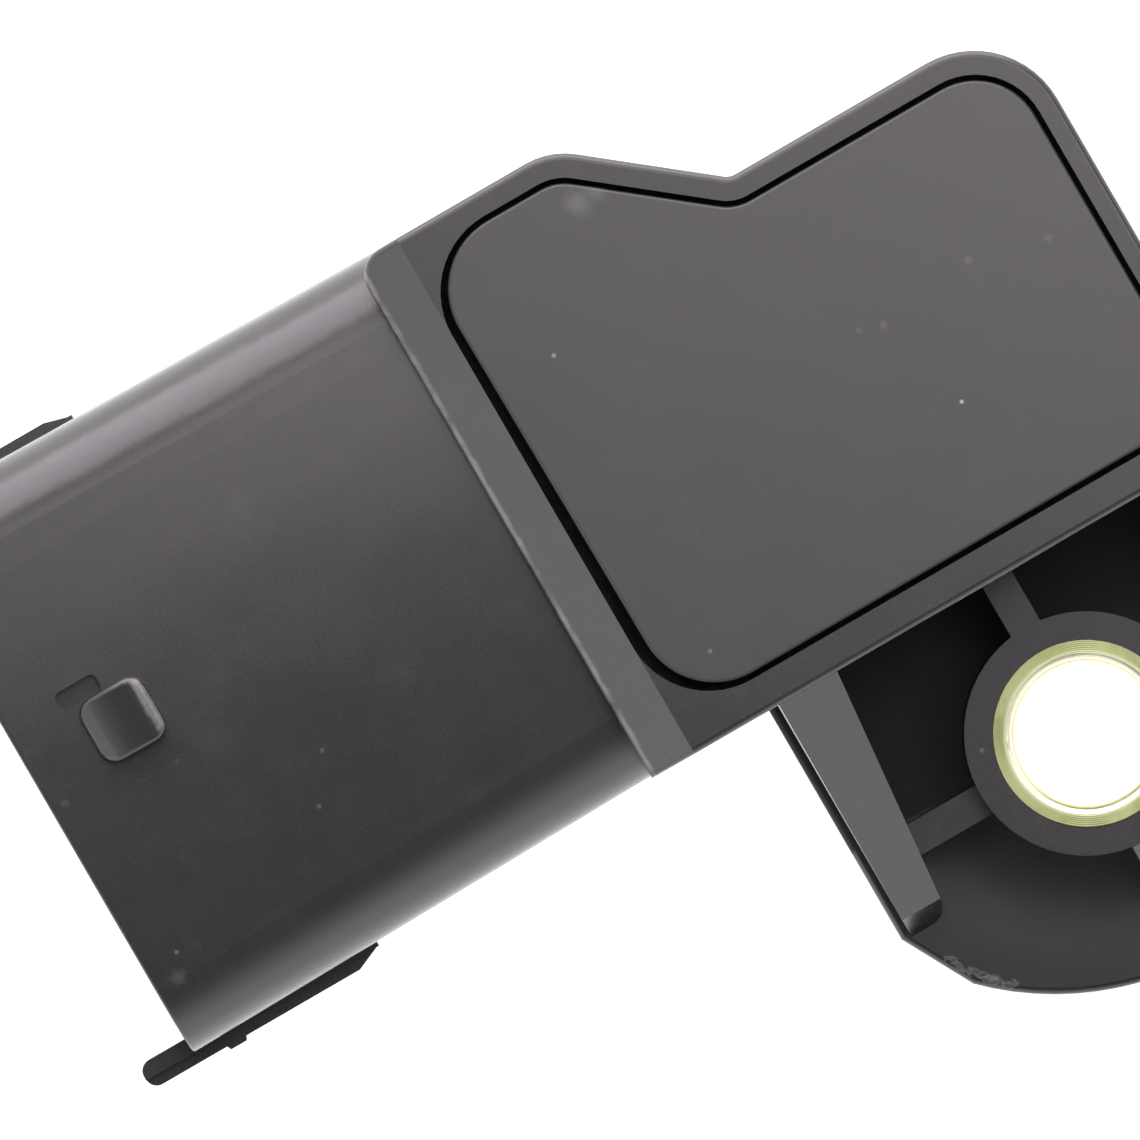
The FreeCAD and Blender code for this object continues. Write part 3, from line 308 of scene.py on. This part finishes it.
housing_dust = [
    (-30.05, 16.58, 13.9, 0.15, 0.8, 0.16),
    (-31.4, 14.49, 13.8, 0.15, 0.8, 0.13),
    (-40.2, 12.04, 13.6, 0.17, 0.8, 0.22),
    (-40.7, 10.99, 13.5, 0.55, 0.9, 0.07),
    (-41.2, 20.3, 13.9, 0.3, 0.9, 0.06),
    (-35.9, 19.4, 13.9, 0.2, 0.9, 0.06),
    (-4.45, 1.7, 9.0, 0.15, 0.8, 0.25),
    (-16.94, 8.56, 16.0, 0.12, 0.7, 0.35),
]
# Lines of painted highlight at the band's foot and along the latch nose's edge.
band_foot_highlight = (-17.8, 7.0, 37.0, 0.24, 14.3)
nose_edge_highlight = (-35.72, 20.8, 23.7, 0.3, 14.6)
housing_plastic = moulded_plastic(
    "housing_plastic",
    dark=(0.018, 0.0165, 0.018),
    light=(0.03, 0.0275, 0.03),
    roughness=(0.24, 0.3),
    streaks=0.5,
    dust=housing_dust,
    highlight_lines=(band_foot_highlight, nose_edge_highlight),
)
dress("housing", housing_plastic)


# Moulding flash
# Five small torn lumps of the housing's plastic, left by the mould on the rim of the flange plate.
# They are flat and run together along the rim, and the first is the shortest.

flash_plastic = moulded_plastic(
    "flash_plastic",
    dark=(0.05, 0.047, 0.05),
    light=(0.13, 0.122, 0.13),
    roughness=(0.35, 0.5),
    streaks=0.2,
    dust=[(-9.47, -7.3, 3.0, 0.1, 0.8, 0.1)],
)
flash_places = ((-10.3, -5.95), (-9.98, -6.48), (-9.62, -7.0), (-9.15, -7.58), (-8.66, -8.08))
flange_top = 0.003
lump_radius = 0.0005
lump_sink = 0.00004
tear = 0.00016
for number, (x, y) in enumerate(flash_places):
    place = (x / 1000, y / 1000, flange_top - lump_sink)
    bpy.ops.object.select_all(action="DESELECT")
    bpy.ops.mesh.primitive_ico_sphere_add(subdivisions=2, radius=lump_radius, location=place)
    lump = bpy.context.object
    lump.name = "moulding_flash_%d" % (number + 1)
    lump.scale = (0.9 + 0.06 * number, 0.5, 0.22)
    lump.rotation_euler = (0, 0, math.radians(-58 + 6 * number))
    bpy.ops.object.transform_apply(location=True, rotation=True, scale=True)
    bpy.ops.object.mode_set(mode="EDIT")
    bpy.ops.mesh.select_all(action="SELECT")
    bpy.ops.transform.vertex_random(offset=tear, seed=number + 3)
    bpy.ops.mesh.subdivide(number_cuts=3, smoothness=0.8)
    bpy.ops.mesh.vertices_smooth(factor=0.5, repeat=6)
    bpy.ops.object.mode_set(mode="OBJECT")
    bpy.ops.object.shade_smooth()
    lump.data.materials.append(flash_plastic)
    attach(lump, "root")


# Lid
# Flat moulded plate in the housing's recess, smoother and a shade lighter than the housing.
# It carries a few specks of dust, faint scuffs and a pale smear by its slanted corner.

lid_dust = [
    (-12.23, 26.66, 15.9, 0.14, 0.7, 0.4),
    (2.5, 15.73, 15.9, 0.12, 0.6, 0.7),
    (-12.8, 11.73, 15.9, 0.13, 0.7, 0.2),
    (5.94, 21.06, 15.9, 0.3, 0.9, 0.07),
    (0.12, 20.8, 15.9, 0.22, 0.9, 0.07),
    (1.2, 20.45, 15.9, 0.25, 0.9, 0.08),
    (9.52, 20.13, 15.9, 0.3, 0.9, 0.06),
    (-7.9, 32.0, 15.9, 0.9, 0.95, 0.12),
    (-6.9, 32.2, 15.9, 0.9, 0.95, 0.1),
]
lid_plastic = moulded_plastic(
    "lid_plastic",
    dark=(0.039, 0.036, 0.039),
    light=(0.052, 0.048, 0.052),
    roughness=(0.29, 0.33),
    streaks=0.3,
    dust=lid_dust,
)
dress("lid", lid_plastic)


# Lid adhesive
# Black cured bead in the groove round the lid, dull and uneven, that bonds the lid to the housing.

def plain_surface(name, dark, light, scale, roughness, metallic=0.0, grain_height=0.00002):
    """Material with a two-tone mottle, uneven gloss and a fine grain."""
    material, tree, shader = new_material(name)
    place = object_place(tree)
    mottle = noise(tree, place, scale, 4.0, 0.6)
    colour = blend_colors(tree, remap(tree, mottle, 0.3, 0.7), (*dark, 1), (*light, 1))
    tree.links.new(colour, shader.inputs["Base Color"])
    low, high = roughness
    patches = noise(tree, place, scale * 3.1, 3.0, 0.6)
    tree.links.new(remap(tree, patches, 0.3, 0.7, low, high), shader.inputs["Roughness"])
    grain = noise(tree, place, 3000.0, 3.0, 0.6)
    bump = add_node(tree, "ShaderNodeBump", None, Strength=0.4, Distance=grain_height, Height=grain)
    tree.links.new(bump.outputs[0], shader.inputs["Normal"])
    shader.inputs["Metallic"].default_value = metallic
    return material


lid_bond = plain_surface(
    "lid_bond", (0.002, 0.002, 0.002), (0.006, 0.0055, 0.006), 800.0, (0.6, 0.8), grain_height=0.00006,
)
lid_bond.node_tree.nodes["Principled BSDF"].inputs["Specular IOR Level"].default_value = 0.1
dress("lid_adhesive", lid_bond)


# Screw bushing
# Turned brass sleeve moulded into the boss, with turning rings on its end and a dull, greenish tone.
# Its bore and the bore's rounded edge are rubbed pale by the screw.

def turned_brass():
    material, tree, shader = new_material("bushing_brass")
    place = object_place(tree)
    ring_pitch = 0.00009
    bore_pitch = 0.00012
    dark_brass = (0.33, 0.34, 0.15, 1)
    light_brass = (0.43, 0.445, 0.23, 1)
    rubbed_brass = (0.93, 0.91, 0.68, 1)
    stained_brass = (0.3, 0.26, 0.12, 1)
    x, y, z = add_node(tree, "ShaderNodeSeparateXYZ", None, i0=place).outputs
    radius = radius_about_screw(tree, x, y)
    rings = math_node(tree, "SINE", math_node(tree, "MULTIPLY", radius, 2 * math.pi / ring_pitch))
    levels = math_node(tree, "SINE", math_node(tree, "MULTIPLY", z, 2 * math.pi / bore_pitch))
    cloud = noise(tree, place, 500.0, 4.0, 0.6, 0.4)
    colour = blend_colors(tree, remap(tree, cloud, 0.3, 0.7), dark_brass, light_brass)
    colour = blend_colors(tree, remap(tree, radius, 0.00385, 0.00345), colour, rubbed_brass)
    stain = remap(tree, noise(tree, place, 1300.0, 5.0, 0.7), 0.6, 0.75)
    colour = blend_colors(tree, math_node(tree, "MULTIPLY", stain, 0.4), colour, stained_brass)
    tree.links.new(colour, shader.inputs["Base Color"])
    tree.links.new(remap(tree, cloud, 0.3, 0.7, 0.28, 0.42), shader.inputs["Roughness"])
    height = math_node(tree, "ADD", rings, levels)
    bump = add_node(tree, "ShaderNodeBump", None, Strength=0.25, Distance=0.000006, Height=height)
    tree.links.new(bump.outputs[0], shader.inputs["Normal"])
    shader.inputs["Metallic"].default_value = 1.0
    return material


dress("screw_bushing", turned_brass())


# Port seal ring
# Black moulded rubber ring, stretched into the groove of the port, with an uneven bloom on it.

seal_rubber = plain_surface("seal_rubber", (0.008, 0.008, 0.009), (0.02, 0.02, 0.021), 900.0, (0.35, 0.55))
dress("port_seal_ring", seal_rubber)


# Terminals
# Stamped bronze blades moulded into the housing, with a satin tin plating of uneven gloss.

tinned_bronze = plain_surface(
    "tinned_bronze", (0.52, 0.51, 0.49), (0.68, 0.67, 0.64), 700.0, (0.25, 0.4),
    metallic=1.0, grain_height=0.000008,
)
for node in ("supply_terminal", "ground_terminal", "signal_terminal"):
    dress(node, tinned_bronze)


# Circuit below the lid
# Fired alumina plate with silicon chips, chip capacitors, a resistor and aluminium bond wires.
# It is bonded in with silicone, and a clear soft gel is poured over it.

circuit_ceramic = plain_surface("circuit_ceramic", (0.66, 0.65, 0.6), (0.78, 0.77, 0.73), 900.0, (0.45, 0.65))
silicone_bond = plain_surface("silicone_bond", (0.42, 0.42, 0.4), (0.52, 0.52, 0.5), 700.0, (0.4, 0.6))
pedestal_glass = plain_surface("pedestal_glass", (0.6, 0.68, 0.64), (0.7, 0.78, 0.74), 800.0, (0.2, 0.45))
silicon = plain_surface(
    "silicon", (0.03, 0.03, 0.04), (0.05, 0.05, 0.065), 1200.0, (0.08, 0.2), grain_height=0.000002,
)
capacitor_ceramic = plain_surface(
    "capacitor_ceramic", (0.32, 0.22, 0.13), (0.42, 0.3, 0.18), 1500.0, (0.4, 0.6),
)
resistor_ceramic = plain_surface(
    "resistor_ceramic", (0.01, 0.01, 0.012), (0.025, 0.025, 0.03), 1500.0, (0.2, 0.35),
)
aluminium_wire = plain_surface(
    "aluminium_wire", (0.7, 0.7, 0.72), (0.82, 0.82, 0.84), 2500.0, (0.25, 0.4), metallic=1.0,
)
for node, material in (
    ("circuit_substrate", circuit_ceramic),
    ("substrate_adhesive", silicone_bond),
    ("glass_pedestal", pedestal_glass),
    ("pressure_chip", silicon),
    ("reference_cap", silicon),
    ("signal_chip", silicon),
    ("supply_capacitor", capacitor_ceramic),
    ("signal_capacitor", capacitor_ceramic),
    ("input_capacitor", capacitor_ceramic),
    ("load_resistor", resistor_ceramic),
    ("supply_bond_wire", aluminium_wire),
    ("ground_bond_wire", aluminium_wire),
    ("signal_bond_wire", aluminium_wire),
    ("chip_bond_wires", aluminium_wire),
):
    dress(node, material)

silicone_gel = plain_surface("silicone_gel", (0.6, 0.64, 0.62), (0.7, 0.73, 0.71), 300.0, (0.08, 0.18))
gel_shader = silicone_gel.node_tree.nodes["Principled BSDF"]
gel_shader.inputs["Transmission Weight"].default_value = 0.8
gel_shader.inputs["IOR"].default_value = 1.41
dress("protective_gel", silicone_gel)


# Floor
# Plain white board just below the port's tip, white to the camera and in reflections.

def mix_values(tree, share, first, second):
    node = add_node(tree, "ShaderNodeMix", {"data_type": "FLOAT"}, i0=share, i2=first, i3=second)
    return node.outputs[0]


floor_size = 2.4
floor_to_camera = 0.9
floor_in_reflections = 1.5
floor_place = (0, 0, cad_box[0][2] - 0.0003)
bpy.ops.mesh.primitive_grid_add(x_subdivisions=4, y_subdivisions=4, size=floor_size, location=floor_place)
floor = bpy.context.object
floor.name = "floor"
floor_material, tree, shader = new_material("pale_floor")
shader.inputs["Base Color"].default_value = (0.8, 0.8, 0.8, 1)
shader.inputs["Roughness"].default_value = 0.9
shader.inputs["Emission Color"].default_value = (1, 1, 1, 1)
path = tree.nodes.new("ShaderNodeLightPath")
mirrored = math_node(tree, "MAXIMUM", path.outputs["Is Glossy Ray"], path.outputs["Is Transmission Ray"])
reflected = math_node(tree, "MULTIPLY", mirrored, floor_in_reflections)
seen = mix_values(tree, path.outputs["Is Camera Ray"], reflected, floor_to_camera)
tree.links.new(seen, shader.inputs["Emission Strength"])
floor.data.materials.append(floor_material)


# Light
# A large softbox towards the top of the picture, a small one just past the camera, a weak one past
# the socket, and a room that reflects dark overhead and light towards the horizon.

def add_softbox(name, aim, bearing, tilt, distance, width, height, power):
    """Area lamp that looks at a point from a bearing and a tilt off the vertical, in degrees."""
    flat = math.radians(bearing)
    lean = math.radians(tilt)
    away = Vector((math.sin(lean) * math.cos(flat), math.sin(lean) * math.sin(flat), math.cos(lean)))
    lamp = bpy.data.lights.new(name, "AREA")
    lamp.shape = "RECTANGLE"
    lamp.size = width
    lamp.size_y = height
    lamp.energy = power
    softbox = bpy.data.objects.new(name, lamp)
    bpy.context.scene.collection.objects.link(softbox)
    softbox.location = Vector(aim) + away * distance
    softbox.rotation_euler = away.to_track_quat("Z", "Y").to_euler()


middle = (-0.0164, 0.018, 0.012)
near_edge = (0.0005, 0.0223, 0.016)
add_softbox("main_softbox", middle, 72, 64, distance=0.6, width=0.8, height=0.7, power=6.2)
add_softbox("top_softbox", near_edge, 45, 14, distance=0.257, width=0.22, height=0.12, power=0.25)
add_softbox("side_softbox", middle, 190, 66, distance=0.6, width=0.35, height=0.25, power=0.25)

room_overhead = 0.27
room_at_horizon = 2.1
room_fill = 0.1
room_seen = 1.0
world = bpy.data.worlds.new("studio_room")
bpy.context.scene.world = world
world.use_nodes = True
tree = world.node_tree
background = tree.nodes["Background"]
background.inputs["Color"].default_value = (1, 1, 1, 1)
direction = tree.nodes.new("ShaderNodeTexCoord").outputs["Generated"]
height = add_node(tree, "ShaderNodeSeparateXYZ", None, i0=direction).outputs[2]
room = remap(tree, height, 1.0, 0.1, room_overhead, room_at_horizon)
path = tree.nodes.new("ShaderNodeLightPath")
mirrored = math_node(tree, "MAXIMUM", path.outputs["Is Glossy Ray"], path.outputs["Is Transmission Ray"])
seen = mix_values(tree, mirrored, room_fill, room)
seen = mix_values(tree, path.outputs["Is Camera Ray"], seen, room_seen)
tree.links.new(seen, background.inputs["Strength"])


# Camera
# Square on above the lid with a long lens, turned about the vertical as in the picture.

picture_turn = -30.1
lid_top = 0.016
distance = 1.0
picture_pixels = 1140
pixels_per_mm = 22.4
picture_width = picture_pixels / pixels_per_mm / 1000
camera_data = bpy.data.cameras.new("camera")
camera = bpy.data.objects.new("camera", camera_data)
bpy.context.scene.collection.objects.link(camera)
camera.location = (middle[0], middle[1], lid_top + distance)
camera.rotation_euler = (0, 0, math.radians(picture_turn))
camera_data.sensor_width = 36
camera_data.lens = 36 * distance / picture_width
camera_data.clip_start = 0.01
camera_data.clip_end = 10
bpy.context.scene.camera = camera
bpy.context.scene.view_settings.view_transform = "Standard"
